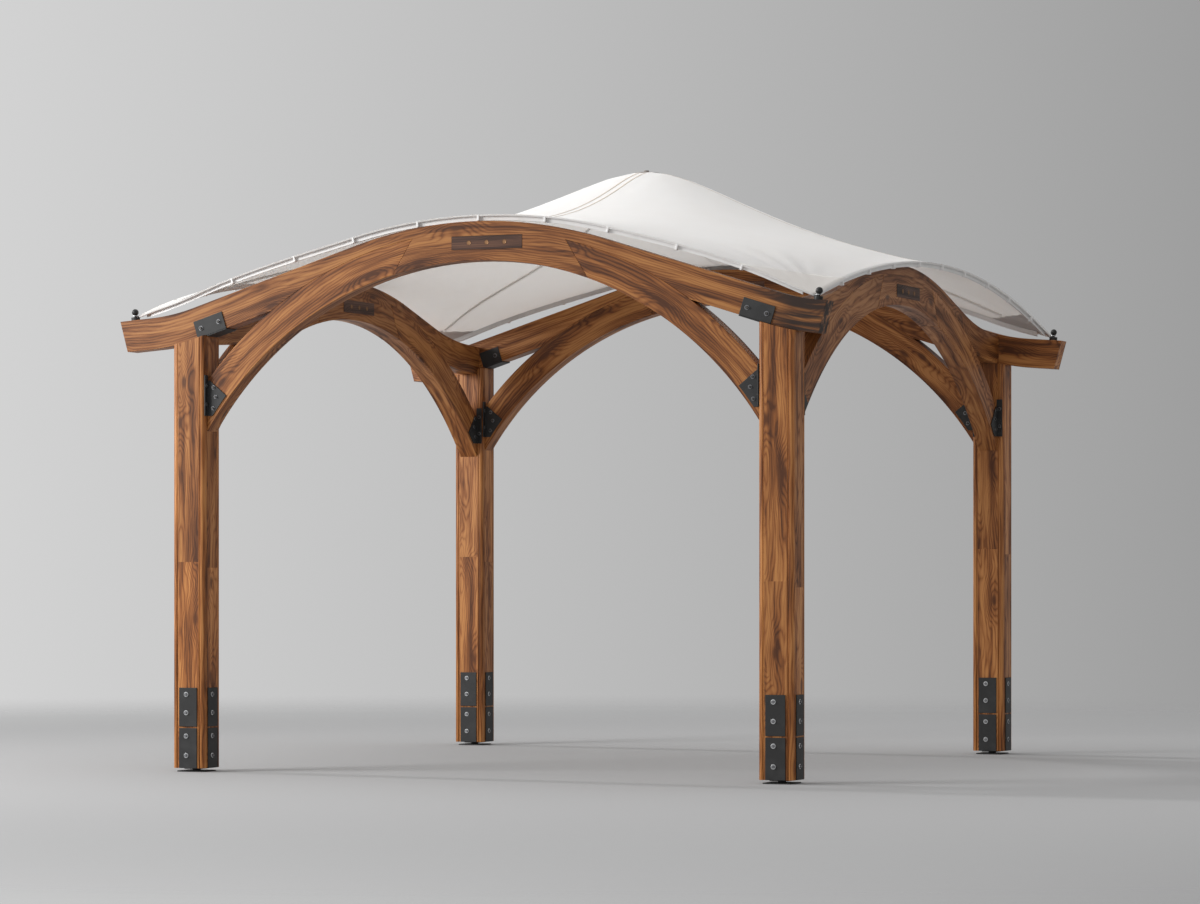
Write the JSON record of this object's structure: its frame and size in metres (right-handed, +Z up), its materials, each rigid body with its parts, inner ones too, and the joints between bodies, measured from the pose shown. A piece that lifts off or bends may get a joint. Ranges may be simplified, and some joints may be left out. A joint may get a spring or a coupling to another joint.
{
  "type": "pergola",
  "caption": "Timber pergola with four posts, curved roof beams, arch braces on all sides, steel foot plates and a peaked tensioned fabric canopy",
  "frame": {"origin": "on the floor, in the plan centre of the whole canopy and frame's box, which is the middle of the four posts to within a few millimetres; the feet stand at z = 0", "axes": "+X runs along the front to the right, +Y runs from front to back, +Z is up"},
  "size_m": [4.16, 3.797, 3.2963],
  "materials": {
    "post_timber": "oiled laminated softwood post with strong streaky figure",
    "beam_timber": "oiled laminated softwood, curved to the beam",
    "black_steel": "matte black powder coat",
    "dark_inlay": "dark stained inlaid board",
    "canopy_fabric": "white coated shade fabric, tensioned",
    "alloy_trim": "satin aluminium",
    "grey_cap": "satin grey-brown powder coat"
  },
  "bodies": {
    "root": {"post_front_left": "post_timber", "post_front_right": "post_timber", "post_back_left": "post_timber", "post_back_right": "post_timber", "foot_front_left": "black_steel", "foot_front_right": "black_steel", "foot_back_left": "black_steel", "foot_back_right": "black_steel", "straps_front_left": "black_steel", "straps_front_right": "black_steel", "straps_back_left": "black_steel", "straps_back_right": "black_steel", "beam_front": "beam_timber", "beam_back": "beam_timber", "beam_left": "beam_timber", "beam_right": "beam_timber", "brace_front_left": "beam_timber", "brace_front_right": "beam_timber", "brace_back_left": "beam_timber", "brace_back_right": "beam_timber", "brace_left_front": "beam_timber", "brace_left_back": "beam_timber", "brace_right_front": "beam_timber", "brace_right_back": "beam_timber", "brackets_front_left": "black_steel", "brackets_front_right": "black_steel", "brackets_back_left": "black_steel", "brackets_back_right": "black_steel", "saddle_front_left": "black_steel", "saddle_front_right": "black_steel", "saddle_back_left": "black_steel", "saddle_back_right": "black_steel", "anchor_front_left": "black_steel", "anchor_front_right": "black_steel", "anchor_back_left": "black_steel", "anchor_back_right": "black_steel", "crown_panels": "dark_inlay", "canopy": "canopy_fabric", "rail_front": "alloy_trim", "rail_back": "alloy_trim", "rail_left": "alloy_trim", "rail_right": "alloy_trim", "battens": "canopy_fabric", "peak_cap": "grey_cap"}
  },
  "joints": []
}
